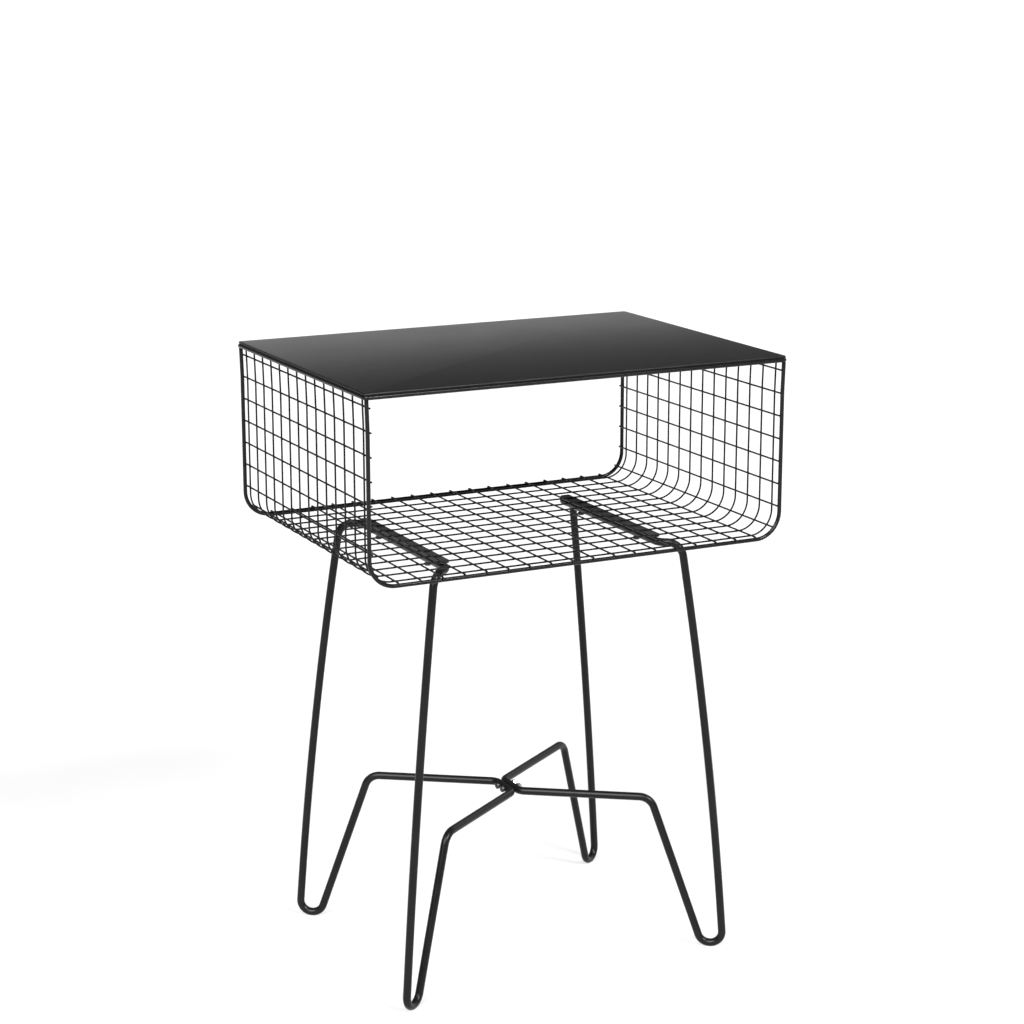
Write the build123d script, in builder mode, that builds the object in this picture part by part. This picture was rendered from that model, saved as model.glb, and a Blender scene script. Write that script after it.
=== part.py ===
from build123d import *
import math
import os

os.makedirs("parts", exist_ok=True)

# Wire nightstand: sheet-metal top on a rod frame, open wire basket below it,
# two bent-rod hairpin leg frames bolted under the basket and to each other.
# Millimetres. Origin on the floor under the centre, X is the width, Y is the
# depth (front at -Y), Z is up.

# Overall sizes and rod diameters
TABLE_HEIGHT = 693.5
PANEL_WIDTH = 501.4
PANEL_DEPTH = 361.4
PANEL_INSET = 1.8
PANEL_THICKNESS = 2.5
PANEL_CORNER_RADIUS = 3.0
WIRE_DIAMETER = 2.0
FRAME_ROD_DIAMETER = 4.5
LEG_ROD_DIAMETER = 9.0
MESH_PITCH = 25.4
WELD_DEPTH = 0.04
COAT_GAP = 0.02

# Basket: the profile of the cross wires, which all other wires follow
WALL_HALF_WIDTH = 244.0
FLOOR_HEIGHT = 493.0
CORNER_RADIUS = 26.0
CORNER_WIRE_ANGLE = 40.0
TOP_WIRE_HEIGHT = 677.7
KNEE_HEIGHT = TOP_WIRE_HEIGHT - MESH_PITCH
KNEE_RADIUS = 300.0
WALL_LEAN = 1.05
BORDER_HALF_DEPTH = 178.6
CROSS_WIRE_LENGTH = 359.0
U_WIRE_COUNT = 14
WALL_WIRE_COUNT = 7
FLOOR_WIRE_COUNT = 18
TOP_FRAME_CORNER_RADIUS = 5.0

# Mounting plates and the bar of each leg frame under them
PLATE_HALF_SPACING = 130.0
PLATE_WIDTH = 13.0
PLATE_LENGTH = 220.0
PLATE_THICKNESS = 3.0
PLATE_CORNER_RADIUS = 5.0
PLATE_SCREW_HALF_SPACING = 66.0

# Corner points of one quarter of a leg frame, as distances from the centre
BAR_END_DEPTH = 114.0
LEG_TOP = (151.5, 129.0)
LEG_BOW_POINT = (183.2, 147.4, 243.0)
FOOT_OUTER = (200.7, 154.4)
FOOT_INNER = (180.3, 139.7)
RISER_TOP = (129.0, 107.0)
STRETCHER_HEIGHT = 179.6
CENTRE_SECTION_HALF_LENGTH = 20.5
CENTRE_GAP = 0.3
BAR_BEND_RADIUS = 13.0
LEG_TOP_RADIUS = 18.0
LEG_BOW_RADIUS = 5500.0
FOOT_RADIUS = 13.8
RISER_BEND_RADIUS = 18.0
CENTRE_BEND_RADIUS = 12.0

# M4 machine screws and nuts
SCREW_DIAMETER = 4.0
SCREW_HOLE_DIAMETER = 4.4
TAPPED_HOLE_DIAMETER = 4.1
SCREW_HEAD_DIAMETER = 7.8
SCREW_HEAD_HEIGHT = 3.0
SCREW_HEAD_EDGE_RADIUS = 1.3
SCREW_RECESS_WIDTH = 1.1
SCREW_RECESS_LENGTH = 4.4
SCREW_RECESS_DEPTH = 1.4
CENTRE_SCREW_HALF_SPACING = 6.3
CENTRE_SCREW_STICK_OUT = 1.6
NUT_ACROSS_FLATS = 7.0
NUT_THICKNESS = 3.2
NUT_BORE_DIAMETER = 4.2

# Derived heights and positions
WIRE_RADIUS = WIRE_DIAMETER / 2
FRAME_ROD_RADIUS = FRAME_ROD_DIAMETER / 2
LEG_ROD_RADIUS = LEG_ROD_DIAMETER / 2
PANEL_UNDERSIDE = TABLE_HEIGHT - PANEL_THICKNESS
TOP_FRAME_HEIGHT = PANEL_UNDERSIDE - FRAME_ROD_RADIUS
TOP_FRAME_HALF_WIDTH = PANEL_WIDTH / 2 + PANEL_INSET - FRAME_ROD_RADIUS
TOP_FRAME_HALF_DEPTH = PANEL_DEPTH / 2 + PANEL_INSET - FRAME_ROD_RADIUS
U_WIRE_OFFSET = 2 * WIRE_RADIUS - WELD_DEPTH
BORDER_OFFSET = WIRE_RADIUS + FRAME_ROD_RADIUS - WELD_DEPTH
U_WIRE_TOP = PANEL_UNDERSIDE - 0.6
BORDER_TOP = TOP_FRAME_HEIGHT - FRAME_ROD_RADIUS - COAT_GAP
PLATE_TOP = FLOOR_HEIGHT - U_WIRE_OFFSET - WIRE_RADIUS - COAT_GAP
PLATE_UNDERSIDE = PLATE_TOP - PLATE_THICKNESS
BAR_HEIGHT = PLATE_UNDERSIDE - COAT_GAP - LEG_ROD_RADIUS
CENTRE_HALF_SPACING = LEG_ROD_RADIUS + CENTRE_GAP / 2
CENTRE_OUTSIDE = CENTRE_HALF_SPACING + LEG_ROD_RADIUS


def wall_shift(height):
    # Outward shift of a basket wall, which leans out above the knee.
    return WALL_LEAN * max(0.0, height - KNEE_HEIGHT) / (U_WIRE_TOP - KNEE_HEIGHT)


def basket_profile(offset, depth, top):
    # Corner points of a U that hugs the basket from outside.
    side = WALL_HALF_WIDTH + offset
    floor = FLOOR_HEIGHT - offset
    half = [
        (side + wall_shift(top), depth, top),
        (side, depth, KNEE_HEIGHT),
        (side, depth, floor),
    ]
    return [(-x, y, z) for x, y, z in half] + half[::-1]


def basket_radii(offset):
    corner = CORNER_RADIUS + offset
    return [KNEE_RADIUS, corner, corner, KNEE_RADIUS]


def leg_half_path(side):
    # From the middle of the bar, down the front leg, round the foot, up the
    # riser and along the stretcher to the middle of the centre section.
    corners = [
        (PLATE_HALF_SPACING, 0.0, BAR_HEIGHT),
        (PLATE_HALF_SPACING, BAR_END_DEPTH, BAR_HEIGHT),
        (*LEG_TOP, BAR_HEIGHT),
        LEG_BOW_POINT,
        (*FOOT_OUTER, LEG_ROD_RADIUS),
        (*FOOT_INNER, LEG_ROD_RADIUS),
        (*RISER_TOP, STRETCHER_HEIGHT),
        (CENTRE_HALF_SPACING, CENTRE_SECTION_HALF_LENGTH, STRETCHER_HEIGHT),
        (CENTRE_HALF_SPACING, 0.0, STRETCHER_HEIGHT),
    ]
    return [(side * x, -y, z) for x, y, z in corners]


LEG_RADII = [
    BAR_BEND_RADIUS,
    LEG_TOP_RADIUS,
    LEG_BOW_RADIUS,
    FOOT_RADIUS,
    FOOT_RADIUS,
    RISER_BEND_RADIUS,
    CENTRE_BEND_RADIUS,
]

# Top panel: plain sheet, square edged, with slightly rounded corners
with BuildPart() as top_panel:
    with BuildSketch(Plane.XY.offset(PANEL_UNDERSIDE)):
        RectangleRounded(PANEL_WIDTH, PANEL_DEPTH, PANEL_CORNER_RADIUS)
    extrude(amount=PANEL_THICKNESS)
top_panel.part.label = "top_panel"
export_step(top_panel.part, "parts/top_panel.step")

# Top frame: closed rod loop under the edge of the panel
with BuildPart() as top_frame_rod:
    with BuildLine(Plane.XY.offset(TOP_FRAME_HEIGHT)) as loop:
        FilletPolyline(
            (0, -TOP_FRAME_HALF_DEPTH),
            (TOP_FRAME_HALF_WIDTH, -TOP_FRAME_HALF_DEPTH),
            (TOP_FRAME_HALF_WIDTH, TOP_FRAME_HALF_DEPTH),
            (0, TOP_FRAME_HALF_DEPTH),
            radius=TOP_FRAME_CORNER_RADIUS,
        )
    with BuildSketch(Plane(origin=loop.line @ 0, z_dir=loop.line % 0)):
        Circle(FRAME_ROD_RADIUS)
    sweep(path=loop.line)
    mirror(about=Plane.YZ)
top_frame_rod.part.label = "top_frame_rod"
export_step(top_frame_rod.part, "parts/top_frame_rod.step")

# Border rods: the front and back edges of the basket
for name, side in (("front_border_rod", -1), ("back_border_rod", 1)):
    corners = basket_profile(BORDER_OFFSET, side * BORDER_HALF_DEPTH, BORDER_TOP)
    with BuildPart() as border_rod:
        with BuildLine() as path:
            FilletPolyline(*corners, radius=basket_radii(BORDER_OFFSET))
        with BuildSketch(Plane(origin=path.line @ 0, z_dir=path.line % 0)):
            Circle(FRAME_ROD_RADIUS)
        sweep(path=path.line)
    border_rod.part.label = name
    export_step(border_rod.part, f"parts/{name}.step")

# U-wires: down one wall, across the floor and up the other wall
for index in range(U_WIRE_COUNT):
    name = f"u_wire_{index + 1:02d}"
    depth = ((U_WIRE_COUNT - 1) / 2 - index) * MESH_PITCH
    corners = basket_profile(U_WIRE_OFFSET, depth, U_WIRE_TOP)
    with BuildPart() as u_wire:
        with BuildLine() as path:
            FilletPolyline(*corners, radius=basket_radii(U_WIRE_OFFSET))
        with BuildSketch(Plane(origin=path.line @ 0, z_dir=path.line % 0)):
            Circle(WIRE_RADIUS)
        sweep(path=path.line)
    u_wire.part.label = name
    export_step(u_wire.part, f"parts/{name}.step")

# Cross wires: straight wires from front to back, inside the U-wires
cross_wires = {}
corner_angle = math.radians(CORNER_WIRE_ANGLE)
corner_x = WALL_HALF_WIDTH - CORNER_RADIUS * (1 - math.cos(corner_angle))
corner_z = FLOOR_HEIGHT + CORNER_RADIUS * (1 - math.sin(corner_angle))
for name, side in (("left", -1), ("right", 1)):
    for row in range(WALL_WIRE_COUNT):
        height = TOP_WIRE_HEIGHT - row * MESH_PITCH
        reach = WALL_HALF_WIDTH + wall_shift(height)
        cross_wires[f"cross_wire_{name}_wall_{row + 1}"] = (side * reach, height)
    cross_wires[f"cross_wire_{name}_corner"] = (side * corner_x, corner_z)
for column in range(FLOOR_WIRE_COUNT):
    across = (column - (FLOOR_WIRE_COUNT - 1) / 2) * MESH_PITCH
    cross_wires[f"cross_wire_floor_{column + 1:02d}"] = (across, FLOOR_HEIGHT)

for name, (across, height) in cross_wires.items():
    with BuildPart() as cross_wire:
        with BuildSketch(Plane.XZ.offset(-CROSS_WIRE_LENGTH / 2)):
            with Locations((across, height)):
                Circle(WIRE_RADIUS)
        extrude(amount=CROSS_WIRE_LENGTH)
    cross_wire.part.label = name
    export_step(cross_wire.part, f"parts/{name}.step")

# Leg frames: one closed bent rod each, drilled for the screws
for name, side in (("left_leg_frame", -1), ("right_leg_frame", 1)):
    with BuildPart() as leg_frame:
        with BuildLine() as path:
            FilletPolyline(*leg_half_path(side), radius=LEG_RADII)
        with BuildSketch(Plane(origin=path.line @ 0, z_dir=path.line % 0)):
            Circle(LEG_ROD_RADIUS)
        sweep(path=path.line)
        mirror(about=Plane.XZ)
        with Locations((side * PLATE_HALF_SPACING, 0, BAR_HEIGHT)):
            with GridLocations(0, 2 * PLATE_SCREW_HALF_SPACING, 1, 2):
                Cylinder(SCREW_HOLE_DIAMETER / 2, 2 * LEG_ROD_DIAMETER, mode=Mode.SUBTRACT)
        with Locations((side * CENTRE_HALF_SPACING, 0, STRETCHER_HEIGHT)):
            with GridLocations(0, 2 * CENTRE_SCREW_HALF_SPACING, 1, 2):
                Cylinder(
                    SCREW_HOLE_DIAMETER / 2,
                    2 * LEG_ROD_DIAMETER,
                    rotation=(0, 90, 0),
                    mode=Mode.SUBTRACT,
                )
    leg_frame.part.label = name
    export_step(leg_frame.part, f"parts/{name}.step")

# Mounting plates: flat strips welded under the basket floor, tapped for the screws
for name, side in (("left_mounting_plate", -1), ("right_mounting_plate", 1)):
    with BuildPart() as mounting_plate:
        with BuildSketch(Plane.XY.offset(PLATE_UNDERSIDE)):
            with Locations((side * PLATE_HALF_SPACING, 0)):
                RectangleRounded(PLATE_WIDTH, PLATE_LENGTH, PLATE_CORNER_RADIUS)
                with GridLocations(0, 2 * PLATE_SCREW_HALF_SPACING, 1, 2):
                    Circle(TAPPED_HOLE_DIAMETER / 2, mode=Mode.SUBTRACT)
        extrude(amount=PLATE_THICKNESS)
    mounting_plate.part.label = name
    export_step(mounting_plate.part, f"parts/{name}.step")


def pan_screw(shank_length):
    # Pan-head screw with a cross recess: the seat is at the origin, the head
    # is below it and the shank points up.
    with BuildPart() as screw:
        with BuildSketch():
            Circle(SCREW_HEAD_DIAMETER / 2)
        extrude(amount=-SCREW_HEAD_HEIGHT)
        fillet(screw.edges().group_by(Axis.Z)[0], SCREW_HEAD_EDGE_RADIUS)
        with BuildSketch(Plane.XY.offset(-SCREW_HEAD_HEIGHT)):
            Rectangle(SCREW_RECESS_LENGTH, SCREW_RECESS_WIDTH)
            Rectangle(SCREW_RECESS_WIDTH, SCREW_RECESS_LENGTH)
        extrude(amount=SCREW_RECESS_DEPTH, mode=Mode.SUBTRACT)
        with BuildSketch():
            Circle(SCREW_DIAMETER / 2)
        extrude(amount=shank_length)
        chamfer(screw.edges().group_by(Axis.Z)[-1], 0.4)
    return screw.part


# Plate screws: four, up through the bars into the plates
plate_screw = pan_screw(PLATE_TOP - BAR_HEIGHT + LEG_ROD_RADIUS)
with BuildPart() as plate_screws:
    with Locations((0, 0, BAR_HEIGHT - LEG_ROD_RADIUS)):
        with GridLocations(2 * PLATE_HALF_SPACING, 2 * PLATE_SCREW_HALF_SPACING, 2, 2):
            add(plate_screw)
plate_screws.part.label = "plate_screws"
export_step(plate_screws.part, "parts/plate_screws.step")

# Centre screws: two, across both centre sections, heads on the left
centre_screw = pan_screw(2 * CENTRE_OUTSIDE + NUT_THICKNESS + CENTRE_SCREW_STICK_OUT)
with BuildPart() as centre_screws:
    with Locations(Plane(origin=(-CENTRE_OUTSIDE, 0, STRETCHER_HEIGHT), z_dir=(1, 0, 0))):
        with GridLocations(0, 2 * CENTRE_SCREW_HALF_SPACING, 1, 2):
            add(centre_screw)
centre_screws.part.label = "centre_screws"
export_step(centre_screws.part, "parts/centre_screws.step")

# Centre nuts: two hexagon nuts on the right
with BuildPart() as centre_nuts:
    with BuildSketch(Plane(origin=(CENTRE_OUTSIDE, 0, STRETCHER_HEIGHT), z_dir=(1, 0, 0))):
        with GridLocations(0, 2 * CENTRE_SCREW_HALF_SPACING, 1, 2):
            RegularPolygon(NUT_ACROSS_FLATS / 2, 6, major_radius=False)
            Circle(NUT_BORE_DIAMETER / 2, mode=Mode.SUBTRACT)
    extrude(amount=NUT_THICKNESS)
centre_nuts.part.label = "centre_nuts"
export_step(centre_nuts.part, "parts/centre_nuts.step")
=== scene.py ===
import math
import random

import bmesh
import bpy
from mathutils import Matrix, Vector


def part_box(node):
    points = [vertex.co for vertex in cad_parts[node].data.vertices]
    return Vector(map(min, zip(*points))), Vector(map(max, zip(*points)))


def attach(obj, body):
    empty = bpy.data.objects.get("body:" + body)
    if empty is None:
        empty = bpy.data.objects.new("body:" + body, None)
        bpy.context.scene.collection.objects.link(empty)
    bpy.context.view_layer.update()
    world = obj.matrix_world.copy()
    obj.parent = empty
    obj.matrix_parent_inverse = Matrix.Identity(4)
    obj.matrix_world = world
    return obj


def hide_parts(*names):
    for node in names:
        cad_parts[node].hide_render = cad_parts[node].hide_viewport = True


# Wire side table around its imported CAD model. Paths are worked out in
# millimetres in the CAD frame (origin on the floor, front at -Y, Z up), and
# every mesh is scaled to metres when it is made.

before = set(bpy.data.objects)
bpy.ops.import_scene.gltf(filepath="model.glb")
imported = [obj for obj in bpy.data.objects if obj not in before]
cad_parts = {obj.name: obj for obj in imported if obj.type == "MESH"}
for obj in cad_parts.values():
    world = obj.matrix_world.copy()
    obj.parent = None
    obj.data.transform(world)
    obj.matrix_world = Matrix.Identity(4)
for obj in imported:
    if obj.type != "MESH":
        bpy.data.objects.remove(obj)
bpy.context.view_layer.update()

MM = 0.001
TURN = 2 * math.pi

# Sizes that the boxes of the CAD nodes don't give
WIRE_RADIUS = 1.0
FRAME_ROD_RADIUS = 2.25
LEG_ROD_RADIUS = 4.5
CORNER_RADIUS = 26.0
KNEE_RADIUS = 300.0
KNEE_ROW = 2
U_WIRE_COUNT = 14
WALL_WIRE_COUNT = 7
FLOOR_WIRE_COUNT = 18
TOP_FRAME_CORNER_RADIUS = 5.0
PANEL_CORNER_RADIUS = 3.0
PLATE_CORNER_RADIUS = 5.0
PLATE_HALF_SPACING = 130.0
CENTRE_HALF_SPACING = 4.65

# Sides of the rings that the round pieces are skinned from
WIRE_SIDES = 12
FRAME_ROD_SIDES = 20
LEG_ROD_SIDES = 24
HOLE_SIDES = 24
NUT_SIDES = 48

# Angles in degrees at which neighbouring faces are shaded apart
SHARP_ANGLE = 38
SHARP_SHEET_ANGLE = 30
SHARP_NUT_ANGLE = 25


# ---------------------------------------------------------------- helpers
def box_mm(node):
    low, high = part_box(node)
    return low / MM, high / MM


def middle(node):
    low, high = box_mm(node)
    return (low + high) / 2


def shade_smooth(mesh, sharp_degrees=SHARP_ANGLE):
    mesh.polygons.foreach_set("use_smooth", [True] * len(mesh.polygons))
    mesh.set_sharp_from_angle(angle=math.radians(sharp_degrees))


def finished_mesh(name, bm, sharp_degrees=SHARP_ANGLE):
    """A piece from a mesh in millimetres."""
    bmesh.ops.recalc_face_normals(bm, faces=bm.faces)
    for vertex in bm.verts:
        vertex.co *= MM
    mesh = bpy.data.meshes.new(name)
    bm.to_mesh(mesh)
    bm.free()
    shade_smooth(mesh, sharp_degrees)
    piece = bpy.data.objects.new(name, mesh)
    bpy.context.scene.collection.objects.link(piece)
    return piece


def bridge(bm, first, second):
    """A band of faces between two rings of equal length."""
    count = len(first)
    for i in range(count):
        j = (i + 1) % count
        bm.faces.new((first[i], first[j], second[j], second[i]))


def add_rings(bm, rings, closed=False):
    """Skins rings of equal length. An open skin gets a flat cap at each end."""
    made = [[bm.verts.new(point) for point in ring] for ring in rings]
    pairs = list(zip(made, made[1:]))
    if closed:
        pairs.append((made[-1], made[0]))
    for first, second in pairs:
        bridge(bm, first, second)
    if not closed:
        bm.faces.new(made[0])
        bm.faces.new(made[-1])


def rings_piece(name, all_rings, closed=False, sharp_degrees=SHARP_ANGLE):
    bm = bmesh.new()
    for rings in all_rings:
        add_rings(bm, rings, closed)
    return finished_mesh(name, bm, sharp_degrees)


def dress(piece, node, material):
    """Gives a piece its material and body, and hides the CAD node that it replaces."""
    piece.data.materials.append(material)
    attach(piece, "root")
    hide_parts(node)


# ------------------------------------------------------------- rod paths
class Path:
    """Straight runs joined by arcs, as a point and a direction at a length."""

    def __init__(self, corners, radii):
        corners = [Vector(c) for c in corners]
        self.runs = []
        self.length = 0.0
        start = corners[0]
        for before, corner, after, radius in zip(
            corners, corners[1:], corners[2:], radii
        ):
            d1 = (corner - before).normalized()
            d2 = (after - corner).normalized()
            turn = d1.angle(d2)
            if turn < 1e-6:
                continue
            setback = radius * math.tan(turn / 2)
            self._add(start, (corner - d1 * setback - start), None)
            inward = (d2 - d1 * math.cos(turn)) / math.sin(turn)
            centre = corner - d1 * setback + inward * radius
            self._add(centre, d1, (inward, radius, turn))
            start = corner + d2 * setback
        self._add(start, corners[-1] - start, None)

    def _add(self, origin, along, arc):
        size = arc[1] * arc[2] if arc else along.length
        if size < 1e-6:
            return
        direction = along.normalized()
        self.runs.append((self.length, size, origin, direction, arc))
        self.length += size

    def at(self, distance):
        for start, size, origin, direction, arc in self.runs:
            if distance <= start + size or start + size >= self.length - 1e-9:
                break
        local = distance - start
        if arc is None:
            return origin + direction * local, direction
        inward, radius, turn = arc
        angle = local / radius
        point = origin + (direction * math.sin(angle) - inward * math.cos(angle)) * radius
        return point, direction * math.cos(angle) + inward * math.sin(angle)

    def stations(self, arc_degrees, longest_run):
        """Lengths along the path: close together on arcs, far apart on runs."""
        found = [0.0]
        for start, size, _, _, arc in self.runs:
            if arc:
                pieces = max(2, math.ceil(math.degrees(arc[2]) / arc_degrees))
            else:
                pieces = 1
            pieces = max(pieces, math.ceil(size / longest_run))
            found += [start + size * (k + 1) / pieces for k in range(pieces)]
        return found

    def nearest(self, x, z, steps=1500):
        """The length at which a path in a plane of constant Y passes (x, z)."""

        def gap(distance):
            point = self.at(distance)[0]
            return math.hypot(point.x - x, point.z - z)

        best = min((self.length * k / steps for k in range(steps + 1)), key=gap)
        step = self.length / steps
        while step > 1e-4:
            best = min((best - step, best, best + step), key=gap)
            step /= 2
        return best


def merged(stations, extra, closest):
    """Sorted stations, less the plain ones that crowd an extra one."""
    kept = [s for s in stations if all(abs(s - e) > closest for e in extra)]
    return sorted(set(kept) | set(extra))


def tube_rings(path, radius, segments, stations, swells=(), across=None):
    """Rings of a round rod. A swell is (length, direction, height, reach): the
    metal that a weld pushes out of the rod on one side."""
    rings = []
    previous = None
    for s in stations:
        point, direction = path.at(s)
        if across is not None:
            side = across
        elif previous is None:
            side = direction.orthogonal()
        else:
            side = previous - direction * previous.dot(direction)
        side = (side - direction * side.dot(direction)).normalized()
        previous = side
        up = direction.cross(side)
        near = [w for w in swells if abs(w[0] - s) < 3 * w[3]]
        ring = []
        for k in range(segments):
            angle = TURN * k / segments
            out = side * math.cos(angle) + up * math.sin(angle)
            size = radius
            for place, towards, height, reach in near:
                facing = max(0.0, out.dot(towards)) if towards else 1.0
                size += height * math.exp(-(((s - place) / reach) ** 2)) * facing**2
            ring.append(point + out * size)
        rings.append(ring)
    return rings


def rounded_ends(rings, path, edge):
    """Rings with a small rounded edge at each cut end of the rod."""

    def shrunk(ring, amount, shift, direction):
        centre = sum(ring, Vector()) / len(ring)
        return [
            p + (centre - p).normalized() * amount + direction * shift for p in ring
        ]

    first, d0 = rings[0], path.at(0.0)[1]
    last, d1 = rings[-1], path.at(path.length)[1]
    start = [
        shrunk(first, edge, 0.0, d0),
        shrunk(first, edge * 0.3, edge * 0.3, d0),
        shrunk(first, 0.0, edge, d0),
    ]
    end = [
        shrunk(last, 0.0, -edge, d1),
        shrunk(last, edge * 0.3, -edge * 0.3, d1),
        shrunk(last, edge, 0.0, d1),
    ]
    return start + rings[1:-1] + end


WELD_STEPS = (-1.7, -1.15, -0.75, -0.35, 0.0, 0.35, 0.75, 1.15, 1.7)


def welded_tube(path, radius, segments, welds, across, edge, arc_degrees=6, stops=()):
    """Rings of a rod with swells where it is welded and rounded ends. The stops
    are lengths at which it gets a ring of its own."""
    extra = [w[0] + step for w in welds for step in WELD_STEPS]
    extra += [e for e in stops if all(abs(e - x) > 0.25 for x in extra)]
    extra = [e for e in extra if edge * 2 < e < path.length - edge * 2]
    stations = merged(path.stations(arc_degrees, 40), extra, 0.3)
    stations = [s for s in stations if edge * 1.5 < s < path.length - edge * 1.5]
    stations = [0.0] + stations + [path.length]
    rings = tube_rings(path, radius, segments, stations, welds, across)
    return rounded_ends(rings, path, edge)


# ------------------------------------------------------------- materials
def node_tree(name):
    material = bpy.data.materials.new(name)
    material.use_nodes = True
    tree = material.node_tree
    tree.nodes.clear()
    output = tree.nodes.new("ShaderNodeOutputMaterial")
    shader = tree.nodes.new("ShaderNodeBsdfPrincipled")
    tree.links.new(shader.outputs["BSDF"], output.inputs["Surface"])
    return material, tree, shader


def noise(tree, coordinates, scale, detail=2.0, roughness=0.5, distortion=0.0):
    node = tree.nodes.new("ShaderNodeTexNoise")
    node.inputs["Scale"].default_value = scale
    node.inputs["Detail"].default_value = detail
    node.inputs["Roughness"].default_value = roughness
    node.inputs["Distortion"].default_value = distortion
    tree.links.new(coordinates, node.inputs["Vector"])
    return node.outputs["Fac"]


def maths(tree, operation, first, second):
    node = tree.nodes.new("ShaderNodeMath")
    node.operation = operation
    for socket, value in zip(node.inputs, (first, second)):
        if isinstance(value, (int, float)):
            socket.default_value = value
        else:
            tree.links.new(value, socket)
    return node.outputs[0]


def spread(tree, value, low, high, to_low, to_high):
    node = tree.nodes.new("ShaderNodeMapRange")
    tree.links.new(value, node.inputs["Value"])
    for name, number in (
        ("From Min", low),
        ("From Max", high),
        ("To Min", to_low),
        ("To Max", to_high),
    ):
        node.inputs[name].default_value = number
    return node.outputs["Result"]


def ramp(tree, value, *stops):
    node = tree.nodes.new("ShaderNodeValToRGB")
    elements = node.color_ramp.elements
    while len(elements) < len(stops):
        elements.new(0.5)
    for element, (place, colour) in zip(elements, stops):
        element.position = place
        element.color = (*colour, 1)
    tree.links.new(value, node.inputs["Fac"])
    return node.outputs["Color"]


def bump(tree, height, strength, distance):
    node = tree.nodes.new("ShaderNodeBump")
    node.inputs["Strength"].default_value = strength
    node.inputs["Distance"].default_value = distance
    tree.links.new(height, node.inputs["Height"])
    return node.outputs["Normal"]


# Scales of the noise per metre, and depths of the bump in metres
COAT_GRAIN_SCALE = 2600
COAT_CLOUD_SCALE = 17
COAT_DEPTH = 0.0004
ZINC_CLOUD_SCALE = 420
ZINC_MARK_SCALE = 5200
ZINC_DEPTH = 0.00003


def powder_coat(name, dark, light, rough, peel_scale, peel, specular=0.33, haze=0.035):
    """Satin powder coat: orange peel, a fine grain, and slow changes in tone
    and gloss. The haze is how far the roughness strays from its middle."""
    material, tree, shader = node_tree(name)
    place = tree.nodes.new("ShaderNodeTexCoord").outputs["Object"]
    orange_peel = noise(tree, place, peel_scale, 1.5, 0.45)
    grain = noise(tree, place, COAT_GRAIN_SCALE, 2.0, 0.6)
    clouds = noise(tree, place, COAT_CLOUD_SCALE, 3.0, 0.55, 0.3)
    tone = maths(
        tree,
        "ADD",
        maths(tree, "MULTIPLY", clouds, 0.65),
        maths(tree, "MULTIPLY", grain, 0.35),
    )
    tree.links.new(
        ramp(tree, tone, (0.34, dark), (0.66, light)), shader.inputs["Base Color"]
    )
    gloss = maths(
        tree,
        "ADD",
        spread(tree, clouds, 0.3, 0.7, rough - haze, rough + haze),
        spread(tree, grain, 0.3, 0.7, -0.03, 0.03),
    )
    tree.links.new(gloss, shader.inputs["Roughness"])
    height = maths(tree, "ADD", orange_peel, maths(tree, "MULTIPLY", grain, 0.22))
    tree.links.new(bump(tree, height, peel, COAT_DEPTH), shader.inputs["Normal"])
    shader.inputs["Specular IOR Level"].default_value = specular
    return material


def plated_steel(name, dark, light, rough):
    """Zinc plate: metal with a clouded passivation and fine tool marks."""
    material, tree, shader = node_tree(name)
    place = tree.nodes.new("ShaderNodeTexCoord").outputs["Object"]
    clouds = noise(tree, place, ZINC_CLOUD_SCALE, 3.0, 0.6, 0.5)
    marks = noise(tree, place, ZINC_MARK_SCALE, 2.0, 0.7)
    tree.links.new(
        ramp(tree, clouds, (0.3, dark), (0.7, light)), shader.inputs["Base Color"]
    )
    gloss = maths(
        tree,
        "ADD",
        spread(tree, clouds, 0.3, 0.7, rough - 0.06, rough + 0.06),
        spread(tree, marks, 0.3, 0.7, -0.05, 0.05),
    )
    tree.links.new(gloss, shader.inputs["Roughness"])
    tree.links.new(bump(tree, marks, 0.25, ZINC_DEPTH), shader.inputs["Normal"])
    shader.inputs["Metallic"].default_value = 1.0
    return material


# Each finish runs from a dark to a light tone. The coats are darker than real paint,
# chosen so that they match the photograph under this scene's lights.
# The plates' tones are painted light. The plates have the same black coat as the rods,
# but it is made lighter here. This stands in for the light and reflections that the mesh
# above keeps off them.
COAT_TONES = ((0.0040, 0.0040, 0.0044), (0.0068, 0.0068, 0.0072))
PANEL_TONES = ((0.0024, 0.0024, 0.0027), (0.0041, 0.0041, 0.0044))
PLATE_TONES_PAINTED_LIGHTER = ((0.0150, 0.0150, 0.0155), (0.0210, 0.0210, 0.0216))
ZINC_TONES = ((0.55, 0.56, 0.58), (0.80, 0.80, 0.78))
BLACK_ZINC_TONES = ((0.045, 0.045, 0.05), (0.085, 0.083, 0.08))

panel_coat = powder_coat(
    "panel_powder_coat", *PANEL_TONES, rough=0.36, peel_scale=430, peel=0.10, haze=0.010
)
rod_coat = powder_coat(
    "rod_powder_coat",
    *COAT_TONES,
    rough=0.22,
    peel_scale=620,
    peel=0.14,
    specular=0.22,
    haze=0.022,
)
wire_coat = powder_coat(
    "wire_powder_coat",
    *COAT_TONES,
    rough=0.26,
    peel_scale=760,
    peel=0.14,
    specular=0.14,
    haze=0.016,
)
leg_coat = powder_coat(
    "leg_powder_coat", *COAT_TONES, rough=0.28, peel_scale=480, peel=0.16, specular=0.18
)
# Painted light: the plates' black coat is lightened to stand in for light that the mesh
# above keeps off them
plate_coat_painted_lighter = powder_coat(
    "plate_powder_coat_painted_lighter", *PLATE_TONES_PAINTED_LIGHTER, rough=0.58, peel_scale=430, peel=0.14
)
zinc = plated_steel("zinc_plate", *ZINC_TONES, 0.30)
black_zinc = plated_steel("black_zinc_plate", *BLACK_ZINC_TONES, 0.36)

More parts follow.
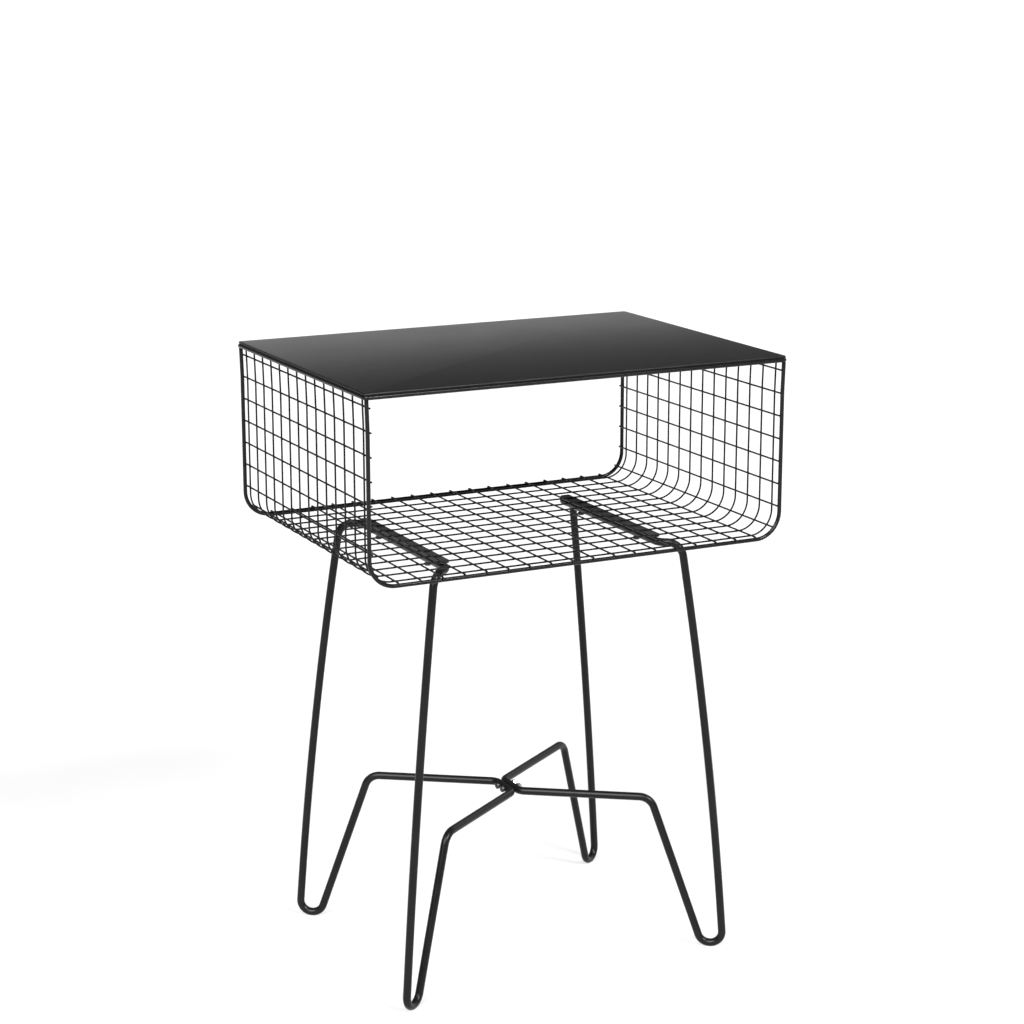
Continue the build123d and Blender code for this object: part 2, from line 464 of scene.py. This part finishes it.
# ------------------------------------------------- places from the CAD nodes
CROSS_NAMES = (
    [f"cross_wire_left_wall_{k + 1}" for k in range(WALL_WIRE_COUNT)]
    + ["cross_wire_left_corner"]
    + [f"cross_wire_floor_{k + 1:02d}" for k in range(FLOOR_WIRE_COUNT)]
    + ["cross_wire_right_corner"]
    + [f"cross_wire_right_wall_{k + 1}" for k in range(WALL_WIRE_COUNT)][::-1]
)
U_NAMES = [f"u_wire_{k + 1:02d}" for k in range(U_WIRE_COUNT)]
cross_at = {name: middle(name) for name in CROSS_NAMES}
wall_half_width = cross_at["cross_wire_right_wall_7"].x
floor_height = cross_at["cross_wire_floor_01"].z
knee_height = cross_at[f"cross_wire_right_wall_{KNEE_ROW}"].z


def basket_path(node, radius):
    """The line of a wire or rod that hugs the basket, from its CAD node's box."""
    low, high = box_mm(node)
    depth = (low.y + high.y) / 2
    top = high.z
    floor = low.z + radius
    offset = floor_height - floor
    side = wall_half_width + offset
    top_side = high.x - radius
    corners = [
        (-top_side, depth, top),
        (-side, depth, knee_height),
        (-side, depth, floor),
        (side, depth, floor),
        (side, depth, knee_height),
        (top_side, depth, top),
    ]
    corner = CORNER_RADIUS + offset
    return Path(corners, [KNEE_RADIUS, corner, corner, KNEE_RADIUS])


def basket_welds(path, height, reach):
    """A swell where each cross wire is welded on, towards that wire."""
    welds = []
    for name in CROSS_NAMES:
        place = cross_at[name]
        s = path.nearest(place.x, place.z)
        point = path.at(s)[0]
        towards = Vector((place.x - point.x, 0, place.z - point.z)).normalized()
        welds.append((s, towards, height, reach))
    return welds


# Height and reach of the swell at each kind of weld
WIRE_WELD = (0.14, 0.7)
ROD_WELD = (0.14, 0.8)
FLOOR_END_WELD = (0.2, 0.8)
TIP_WELD = (0.25, 0.9)
BUTT_WELD = (0.35, 1.1)
WELD_DEPTH = 0.04

X, Y, Z = Vector((1, 0, 0)), Vector((0, 1, 0)), Vector((0, 0, 1))

# ---------------------------------------------------------------- U-wires
u_paths = {name: basket_path(name, WIRE_RADIUS) for name in U_NAMES}
u_welds = basket_welds(u_paths[U_NAMES[0]], *WIRE_WELD)
frame_rod_height = middle("top_frame_rod").z
for name in U_NAMES:
    path = u_paths[name]
    tip = path.length - (path.at(0)[0].z - frame_rod_height)
    tips = [(path.length - tip, -X, *TIP_WELD), (tip, X, *TIP_WELD)]
    rings = welded_tube(path, WIRE_RADIUS, WIRE_SIDES, u_welds + tips, Y, 0.22)
    piece = rings_piece(f"basket_{name}", [rings])
    dress(piece, name, wire_coat)

# ------------------------------------------------------------ border rods
border_paths = {}
for name in ("front_border_rod", "back_border_rod"):
    path = basket_path(name, FRAME_ROD_RADIUS)
    border_paths[name] = path
    welds = basket_welds(path, *ROD_WELD)
    rings = welded_tube(path, FRAME_ROD_RADIUS, FRAME_ROD_SIDES, welds, Y, 0.3, 5)
    piece = rings_piece(f"basket_{name}", [rings])
    dress(piece, name, rod_coat)

# ------------------------------------------------------------ cross wires
u_depths = [u_paths[name].at(0)[0].y for name in U_NAMES]
rod_depth = border_paths["back_border_rod"].at(0)[0].y
WRAP_RADIUS = WIRE_RADIUS + FRAME_ROD_RADIUS - WELD_DEPTH
FRONT_WRAP = (2.4, 4.6)
BACK_WRAP = (1.2, 3.0)
END_STEP = 0.4


def wrapped(vertex, centre, towards):
    """A point of a straight wire, carried round the border rod past its middle."""
    past = abs(vertex.y) - rod_depth
    if past <= 0:
        return vertex
    inward = (vertex - centre).dot(towards)
    sideways = vertex - centre - towards * inward
    sideways.y = 0
    angle = past / WRAP_RADIUS
    reach = WRAP_RADIUS - inward
    point = centre + towards * (WRAP_RADIUS - reach * math.cos(angle)) + sideways
    point.y = math.copysign(rod_depth + reach * math.sin(angle), vertex.y)
    return point


chance = random.Random(41)
for name in CROSS_NAMES:
    place = cross_at[name]
    low, high = box_mm(name)
    half_length = (high.y - low.y) / 2
    u_path = u_paths[U_NAMES[0]]
    point = u_path.at(u_path.nearest(place.x, place.z))[0]
    towards = Vector((point.x - place.x, 0, point.z - place.z)).normalized()
    # The press that welds the floor to its border rods folds the floor wires'
    # ends over them. The wires of the walls stay straight.
    front = back = half_length
    if "floor" in name:
        front = rod_depth + chance.uniform(*FRONT_WRAP)
        back = rod_depth + chance.uniform(*BACK_WRAP)
    path = Path([(place.x, -front, place.z), (place.x, back, place.z)], [])
    welds = [(y + front, towards, *WIRE_WELD) for y in u_depths]
    welds += [(y + front, towards, *FLOOR_END_WELD) for y in (-rod_depth, rod_depth)]
    ends = []
    if "floor" in name:
        steps = range(1, math.ceil(max(FRONT_WRAP) / END_STEP))
        ends = [k * END_STEP for k in steps]
        ends += [path.length - e for e in ends]
    rings = welded_tube(path, WIRE_RADIUS, WIRE_SIDES, welds, X, 0.2, stops=ends)
    if "floor" in name:
        centre = Vector((place.x, 0, place.z))
        rings = [[wrapped(v, centre, towards) for v in ring] for ring in rings]
    piece = rings_piece(f"basket_{name}", [rings])
    dress(piece, name, wire_coat)

# -------------------------------------------------------------- top frame
low, high = box_mm("top_frame_rod")
half_x = (high.x - low.x) / 2 - FRAME_ROD_RADIUS
half_y = (high.y - low.y) / 2 - FRAME_ROD_RADIUS
path = Path(
    [
        (0, -half_y, frame_rod_height),
        (half_x, -half_y, frame_rod_height),
        (half_x, half_y, frame_rod_height),
        (-half_x, half_y, frame_rod_height),
        (-half_x, -half_y, frame_rod_height),
        (0, -half_y, frame_rod_height),
    ],
    [TOP_FRAME_CORNER_RADIUS] * 4,
)
stations = path.stations(6, 30)[:-1]
rings = tube_rings(path, FRAME_ROD_RADIUS, FRAME_ROD_SIDES, stations, (), Z)
piece = rings_piece("top_frame", [rings], closed=True)
dress(piece, "top_frame_rod", rod_coat)

# ------------------------------------------------------------- leg frames
# Corners of one quarter of a leg frame. Those without a height are at the bar's.
QUARTER_CORNERS = (
    (PLATE_HALF_SPACING, 0.0, None),
    (PLATE_HALF_SPACING, 114.0, None),
    (151.5, 129.0, None),
    (183.2, 147.4, 243.0),
    (200.7, 154.4, 4.5),
    (180.3, 139.7, 4.5),
    (129.0, 107.0, 179.6),
    (CENTRE_HALF_SPACING, 20.5, 179.6),
    (CENTRE_HALF_SPACING, 0.0, 179.6),
)
LEG_RADII = (13.0, 18.0, 5500.0, 13.8, 13.8, 18.0, 12.0)
SCREW_HOLE_RADIUS = 2.2
BAR_CUT = 20
CENTRE_CUT = 9.3
HOLE_RINGS = (-6.5, -4.5, -3.4, -2.6, 2.6, 3.4, 4.5, 6.5)
BUTT_WELD_RINGS = (-3, -2, -1.4, -0.9, -0.4, 0, 0.4, 0.9, 1.4, 2, 3)
BUTT_WELD_FROM_END = 30.0
bar_height = box_mm("left_leg_frame")[1].z - LEG_ROD_RADIUS
screw_high = box_mm("plate_screws")[1]
centre_low, centre_high = box_mm("centre_screws")
head_radius = (centre_high.z - centre_low.z) / 2
plate_screw_depth = screw_high.y - head_radius
centre_screw_depth = centre_high.y - head_radius
stretcher_height = middle("centre_screws").z


def hole_cutter(centre, direction, radius, length):
    side = direction.orthogonal().normalized()
    up = direction.cross(side)
    angles = [TURN * k / HOLE_SIDES for k in range(HOLE_SIDES)]
    return [
        [
            centre
            + direction * end
            + (side * math.cos(a) + up * math.sin(a)) * radius
            for a in angles
        ]
        for end in (-length / 2, length / 2)
    ]


def cut_holes(piece, cutters):
    """Cuts the cutters out of a piece for good, so no modifier stays on it."""
    bm = bmesh.new()
    for rings in cutters:
        add_rings(bm, rings)
    cutter = finished_mesh("hole_cutter", bm)
    modifier = piece.modifiers.new("holes", "BOOLEAN")
    modifier.operation = "DIFFERENCE"
    modifier.solver = "EXACT"
    modifier.object = cutter
    graph = bpy.context.evaluated_depsgraph_get()
    mesh = bpy.data.meshes.new_from_object(piece.evaluated_get(graph), depsgraph=graph)
    piece.modifiers.clear()
    old = piece.data
    piece.data = mesh
    bpy.data.meshes.remove(old)
    bpy.data.objects.remove(cutter)
    shade_smooth(mesh)


for name, side in (("left_leg_frame", -1), ("right_leg_frame", 1)):
    quarter = [
        Vector((side * x, -y, bar_height if z is None else z))
        for x, y, z in QUARTER_CORNERS
    ]
    back = [Vector((p.x, -p.y, p.z)) for p in quarter[::-1]]
    path = Path(quarter + back[1:], list(LEG_RADII) + [0] + list(LEG_RADII[::-1]))
    holes = [plate_screw_depth, path.length - plate_screw_depth]
    holes += [
        path.length / 2 - centre_screw_depth,
        path.length / 2 + centre_screw_depth,
    ]
    near_holes = [h + step for h in holes for step in HOLE_RINGS]
    butt_weld = path.length - BUTT_WELD_FROM_END
    near_weld = [butt_weld + step for step in BUTT_WELD_RINGS]
    stations = merged(path.stations(4, 30), near_holes + near_weld, 0.6)
    stations = [s for s in stations if s < path.length - 0.5]
    swells = [(butt_weld, None, *BUTT_WELD)]
    # The sides of the ring are carried along the rod, and the small twist that
    # is left after a full turn is shared out over its length.
    rings = tube_rings(path, LEG_ROD_RADIUS, LEG_ROD_SIDES, stations, swells)
    first, last = rings[0][0], rings[-1]
    twist = min(range(LEG_ROD_SIDES), key=lambda k: (last[k] - first).length)
    if twist:
        share = [round(twist * i / (len(rings) - 1)) for i in range(len(rings))]
        rings = [ring[k:] + ring[:k] for ring, k in zip(rings, share)]
    piece = rings_piece(name.replace("_frame", "") + "_rod", [rings], closed=True)
    cutters = []
    for sign in (-1, 1):
        place = (side * PLATE_HALF_SPACING, sign * plate_screw_depth, bar_height)
        cutters.append(hole_cutter(Vector(place), Z, SCREW_HOLE_RADIUS, BAR_CUT))
    for sign in (-1, 1):
        place = (side * CENTRE_HALF_SPACING, sign * centre_screw_depth, stretcher_height)
        cutters.append(hole_cutter(Vector(place), X, SCREW_HOLE_RADIUS, CENTRE_CUT))
    cut_holes(piece, cutters)
    dress(piece, name, leg_coat)


# ------------------------------------------------------- panel and plates
EDGE_STEPS = 6
PANEL_EDGE_RADIUS = 1.2
PANEL_STEPS = (24, 18)
PANEL_FLANK = ((0.02, -0.15), (0.10, -0.45), (0.24, -0.80), (0.40, -1.15))
PLATE_EDGE_RADIUS = 0.4
PLATE_STEPS = (3, 20)
PLATE_BORE_RADIUS = 2.05


def rounded_outline(half_x, half_y, radius, along_x, along_y, arc=6):
    """Counter-clockwise outline, with the point inside it that each belongs to."""
    inner_x, inner_y = half_x - radius, half_y - radius
    sides = (
        ((1, -1), (1, 1), -90, along_y),
        ((1, 1), (-1, 1), 0, along_x),
        ((-1, 1), (-1, -1), 90, along_y),
        ((-1, -1), (1, -1), 180, along_x),
    )
    outline = []
    for (ax, ay), (bx, by), start, steps in sides:
        corner = Vector((ax * inner_x, ay * inner_y))
        for k in range(arc + 1):
            angle = math.radians(start + 90 * k / arc)
            out = Vector((math.cos(angle), math.sin(angle)))
            outline.append((corner + out * radius, out))
        following = Vector((bx * inner_x, by * inner_y))
        angle = math.radians(start + 90)
        out = Vector((math.cos(angle), math.sin(angle)))
        for k in range(1, steps):
            outline.append((corner.lerp(following, k / steps) + out * radius, out))
    return outline


def sheet_piece(name, node, radius, edge, steps, holes=(), flank=()):
    """A flat sheet from the box of its CAD node, with softened edges. A flank
    gives the lower edge's own steps of inset and height above the middle."""
    low, high = box_mm(node)
    centre = (low + high) / 2
    size = (high - low) / 2
    outline = rounded_outline(size.x, size.y, radius, *steps)
    profile = []
    for k in range(EDGE_STEPS + 1):
        angle = math.radians(90 * k / EDGE_STEPS)
        inset, drop = edge * (1 - math.sin(angle)), edge * (1 - math.cos(angle))
        profile.append((inset, size.z - drop))
    if flank:
        profile += [*flank, (flank[-1][0], -size.z)]
    else:
        profile += [(inset, -z) for inset, z in profile[::-1]]
    bm = bmesh.new()
    rings = []
    for inset, z in profile:
        ring = []
        for p, out in outline:
            x = centre.x + p.x - out.x * inset
            y = centre.y + p.y - out.y * inset
            ring.append(bm.verts.new((x, y, centre.z + z)))
        rings.append(ring)
    for first, second in zip(rings, rings[1:]):
        bridge(bm, first, second)
    bores = [[], []]
    for x, y, bore in holes:
        for face, z in ((0, size.z), (1, -size.z)):
            ring = []
            for k in range(HOLE_SIDES):
                a = TURN * k / HOLE_SIDES
                point = (x + bore * math.cos(a), y + bore * math.sin(a), centre.z + z)
                ring.append(bm.verts.new(point))
            bores[face].append(ring)
    for upper, lower in zip(*bores):
        bridge(bm, upper, lower)
    for face, ring in ((0, rings[0]), (1, rings[-1])):
        if not holes:
            bm.faces.new(ring)
            continue
        edges = [
            bm.edges.get((loop[i], loop[(i + 1) % len(loop)]))
            for loop in [ring] + bores[face]
            for i in range(len(loop))
        ]
        bmesh.ops.triangle_fill(bm, use_beauty=True, use_dissolve=False, edges=edges)
    return finished_mesh(name, bm, SHARP_SHEET_ANGLE)


panel = sheet_piece(
    "top_sheet",
    "top_panel",
    PANEL_CORNER_RADIUS,
    PANEL_EDGE_RADIUS,
    PANEL_STEPS,
    flank=PANEL_FLANK,
)
dress(panel, "top_panel", panel_coat)

for name in ("left_mounting_plate", "right_mounting_plate"):
    place = middle(name)
    plate = sheet_piece(
        name.replace("mounting_", "") + "_strip",
        name,
        PLATE_CORNER_RADIUS,
        PLATE_EDGE_RADIUS,
        PLATE_STEPS,
        [(place.x, sign * plate_screw_depth, PLATE_BORE_RADIUS) for sign in (-1, 1)],
    )
    dress(plate, name, plate_coat_painted_lighter)

# -------------------------------------------------------------- fasteners
HEAD_HEIGHT = 3.0
HEAD_EDGE_RADIUS = 1.3
SHANK_RADIUS = 2.0
THREAD_PITCH = 0.7
THREAD_DEPTH = 0.36
RECESS_HALF_LENGTH = 2.2
RECESS_HALF_WIDTH = 0.55
PLATE_THREAD = 4.5
CENTRE_THREAD = 9.0
PLATE_SCREW_TURNS = (12, 55, -20, 74)
CENTRE_SCREW_TURNS = (31, -14)
NUT_TURNS = (8, 23)
STAR_ANGLES = [
    math.radians(quarter * 90 + a)
    for quarter in range(4)
    for a in (-45, -37, -29, -21, -14.04, -7, 0, 7, 14.04, 21, 29, 37)
]


def placed_ring(origin, axis, side, angles, radii, heights):
    """A ring round an axis. One radius or height may stand for all of them."""
    up = axis.cross(side)
    radii = radii if isinstance(radii, list) else [radii] * len(angles)
    heights = heights if isinstance(heights, list) else [heights] * len(angles)
    return [
        origin + axis * h + (side * math.cos(a) + up * math.sin(a)) * r
        for a, r, h in zip(angles, radii, heights)
    ]


def recess_edge(angle):
    """Distance from the middle of a screw head to the edge of its cross."""
    a = (angle + math.pi / 4) % (math.pi / 2) - math.pi / 4
    return min(
        RECESS_HALF_LENGTH / math.cos(a),
        RECESS_HALF_WIDTH / max(1e-6, abs(math.sin(a))),
    )


def screw_rings(origin, axis, side, length, thread_from):
    """A pan-head screw: the seat is at origin, the shank points along axis."""
    recess = [recess_edge(a) for a in STAR_ANGLES]
    rings = []

    def add(radii, height):
        rings.append(placed_ring(origin, axis, side, STAR_ANGLES, radii, height))

    top = -HEAD_HEIGHT
    add(0.2, top + 1.62)
    add([min(0.45, r * 0.7) for r in recess], top + 1.55)
    add([r * 0.74 for r in recess], top + 1.25)
    add([r * 0.93 for r in recess], top + 0.12)
    add([r * 0.98 for r in recess], top + 0.03)
    add([r * 1.05 for r in recess], top + 0.0)
    add(2.5, top)
    inner = head_radius - HEAD_EDGE_RADIUS
    for degrees in (8, 22, 36, 50, 64, 78, 90):
        a = math.radians(degrees)
        add(
            inner + HEAD_EDGE_RADIUS * math.sin(a),
            top + HEAD_EDGE_RADIUS * (1 - math.cos(a)),
        )
    add(head_radius, -0.18)
    add(head_radius - 0.05, -0.05)
    add(head_radius - 0.18, 0.0)
    add(SHANK_RADIUS + 0.15, 0.0)
    add(SHANK_RADIUS, 0.15)
    add(SHANK_RADIUS, thread_from - 0.3)
    steps = math.ceil((length - 0.5 - thread_from) / (THREAD_PITCH / 8))
    for k in range(steps + 1):
        height = thread_from + (length - 0.5 - thread_from) * k / steps
        fade = min(1.0, k / 6)
        radii = []
        for a in STAR_ANGLES:
            phase = (height / THREAD_PITCH - a / TURN) % 1.0
            crest = min(1.0, max(0.0, abs(2 * phase - 1) * 1.25 - 0.12))
            radii.append(SHANK_RADIUS - THREAD_DEPTH * fade * (1 - crest))
        add(radii, height)
    add(SHANK_RADIUS - THREAD_DEPTH - 0.02, length - 0.2)
    add(SHANK_RADIUS - THREAD_DEPTH - 0.2, length)
    return rings


def turned(first, second, degrees):
    """The first direction, turned towards the second."""
    a = math.radians(degrees)
    return first * math.cos(a) + second * math.sin(a)


seat = bar_height - LEG_ROD_RADIUS
shank = screw_high.z - seat
quartet = [(sx, sy) for sx in (-1, 1) for sy in (-1, 1)]
screws = []
for (sx, sy), turn in zip(quartet, PLATE_SCREW_TURNS):
    origin = Vector((sx * PLATE_HALF_SPACING, sy * plate_screw_depth, seat))
    side = turned(X, Y, turn)
    screws.append(screw_rings(origin, Z, side, shank, shank - PLATE_THREAD))
piece = rings_piece("plate_screw_set", screws)
dress(piece, "plate_screws", black_zinc)

seat_x = centre_low.x + HEAD_HEIGHT
shank = centre_high.x - seat_x
screws = []
for sy, turn in zip((-1, 1), CENTRE_SCREW_TURNS):
    origin = Vector((seat_x, sy * centre_screw_depth, stretcher_height))
    side = turned(Y, Z, turn)
    screws.append(screw_rings(origin, X, side, shank, shank - CENTRE_THREAD))
piece = rings_piece("centre_screw_pair", screws)
dress(piece, "centre_screws", black_zinc)

NUT_HALF_FLATS = 3.5
NUT_FACE_RADIUS = 3.32
NUT_CHAMFER = math.tan(math.radians(30))
NUT_BORE_RADIUS = 2.06
nut_low, nut_high = box_mm("centre_nuts")


def nut_rings(origin, axis, side, thickness):
    """A hexagon nut with both faces turned round and a countersunk bore."""
    angles = [TURN * k / NUT_SIDES for k in range(NUT_SIDES)]

    def ring(radii, heights):
        return placed_ring(origin, axis, side, angles, radii, heights)

    hexagon = []
    for a in angles:
        local = (a + math.pi / 6) % (math.pi / 3) - math.pi / 6
        hexagon.append(min(NUT_HALF_FLATS / math.cos(local), NUT_HALF_FLATS * 1.147))
    drop = [max(0.03, (r - NUT_FACE_RADIUS) * NUT_CHAMFER) for r in hexagon]
    return [
        ring(NUT_BORE_RADIUS, 0.4),
        ring(NUT_BORE_RADIUS + 0.35, 0.0),
        ring(NUT_FACE_RADIUS, 0.0),
        ring(hexagon, drop),
        ring(hexagon, [thickness - d for d in drop]),
        ring(NUT_FACE_RADIUS, thickness),
        ring(NUT_BORE_RADIUS + 0.35, thickness),
        ring(NUT_BORE_RADIUS, thickness - 0.4),
    ]


nuts = []
for sy, turn in zip((-1, 1), NUT_TURNS):
    origin = Vector((nut_low.x, sy * centre_screw_depth, stretcher_height))
    nuts.append(nut_rings(origin, X, turned(Y, Z, turn), nut_high.x - nut_low.x))
piece = rings_piece("centre_nut_pair", nuts, True, SHARP_NUT_ANGLE)
dress(piece, "centre_nuts", zinc)

# ------------------------------------------------- floor, light and camera
FLOOR_SIZE = 400.0
FLOOR_STEPS = 12
# The floor glows, so that it comes out as white as the photograph's background
FLOOR_GLOW = 0.64
bm = bmesh.new()
marks = [FLOOR_SIZE / MM * (k / FLOOR_STEPS - 0.5) for k in range(FLOOR_STEPS + 1)]
grid = [[bm.verts.new((x, y, 0.0)) for y in marks] for x in marks]
for near, far in zip(grid, grid[1:]):
    for j in range(FLOOR_STEPS):
        bm.faces.new((near[j], far[j], far[j + 1], near[j + 1]))
floor = finished_mesh("studio_floor", bm)
floor_material, tree, shader = node_tree("studio_floor")
place = tree.nodes.new("ShaderNodeTexCoord").outputs["Object"]
speckle = noise(tree, place, 6, 3.0)
tree.links.new(
    ramp(tree, speckle, (0.3, (0.245, 0.245, 0.245)), (0.7, (0.255, 0.255, 0.255))),
    shader.inputs["Base Color"],
)
shader.inputs["Emission Color"].default_value = (1, 1, 1, 1)
shader.inputs["Emission Strength"].default_value = FLOOR_GLOW
tree.links.new(spread(tree, speckle, 0.3, 0.7, 0.75, 0.85), shader.inputs["Roughness"])
shader.inputs["Specular IOR Level"].default_value = 0.1
floor.data.materials.append(floor_material)

CAMERA_PLACE = (-1.19219, -2.37913, 1.14243)
CAMERA_AZIMUTH = -26.720
CAMERA_ELEVATION = 13.442
CAMERA_LENS = 85.17


def soft_sun(name, azimuth, elevation, angle, strength):
    """A large soft source far away. Azimuth is measured as the camera's is."""
    light = bpy.data.lights.new(name, "SUN")
    light.angle = math.radians(angle)
    light.energy = strength
    lamp = bpy.data.objects.new(name, light)
    lamp.rotation_euler = (math.radians(90 - elevation), 0, math.radians(azimuth))
    bpy.context.scene.collection.objects.link(lamp)


soft_sun("front_softbox", azimuth=-50, elevation=40, angle=44, strength=5.4)
soft_sun("right_softbox", azimuth=20, elevation=41, angle=15, strength=3.6)
soft_sun("side_fill", azimuth=105, elevation=25, angle=55, strength=0.67)

# A low white card behind the table, seen only as a reflection in its top
card_light = bpy.data.lights.new("back_card", "AREA")
card_light.shape = "RECTANGLE"
card_light.size = 1.25
card_light.size_y = 0.07
card_light.energy = 0.255
card = bpy.data.objects.new("back_card", card_light)
card.location = (0.375, 0.44, 0.735)
card.rotation_euler = (math.radians(-90), 0, 0)
card.visible_camera = False
bpy.context.scene.collection.objects.link(card)

world = bpy.data.worlds.new("studio")
world.use_nodes = True
tree = world.node_tree
tree.nodes.clear()
output = tree.nodes.new("ShaderNodeOutputWorld")
background = tree.nodes.new("ShaderNodeBackground")
# The camera sees white past the floor's far edge. All else sees the dim studio.
backdrop = tree.nodes.new("ShaderNodeBackground")
backdrop.inputs["Color"].default_value = (1, 1, 1, 1)
backdrop.inputs["Strength"].default_value = 1.0
blend = tree.nodes.new("ShaderNodeMixShader")
seen = tree.nodes.new("ShaderNodeLightPath").outputs["Is Camera Ray"]
tree.links.new(seen, blend.inputs[0])
tree.links.new(background.outputs[0], blend.inputs[1])
tree.links.new(backdrop.outputs[0], blend.inputs[2])
tree.links.new(blend.outputs[0], output.inputs["Surface"])
direction = tree.nodes.new("ShaderNodeTexCoord").outputs["Generated"]
split = tree.nodes.new("ShaderNodeSeparateXYZ")
tree.links.new(direction, split.inputs[0])
tree.links.new(
    ramp(
        tree,
        split.outputs["Z"],
        (0.0, (0.075, 0.075, 0.077)),
        (0.35, (0.12, 0.12, 0.122)),
        (1.0, (0.10, 0.10, 0.102)),
    ),
    background.inputs["Color"],
)
background.inputs["Strength"].default_value = 1.0
bpy.context.scene.world = world

camera = bpy.data.objects.new("photo_camera", bpy.data.cameras.new("photo_camera"))
camera.location = CAMERA_PLACE
camera.rotation_euler = (
    math.radians(90 - CAMERA_ELEVATION),
    0,
    math.radians(CAMERA_AZIMUTH),
)
camera.data.sensor_width = 36.0
camera.data.lens = CAMERA_LENS
camera.data.clip_end = 500
bpy.context.scene.collection.objects.link(camera)
bpy.context.scene.camera = camera
bpy.context.scene.view_settings.view_transform = "Standard"
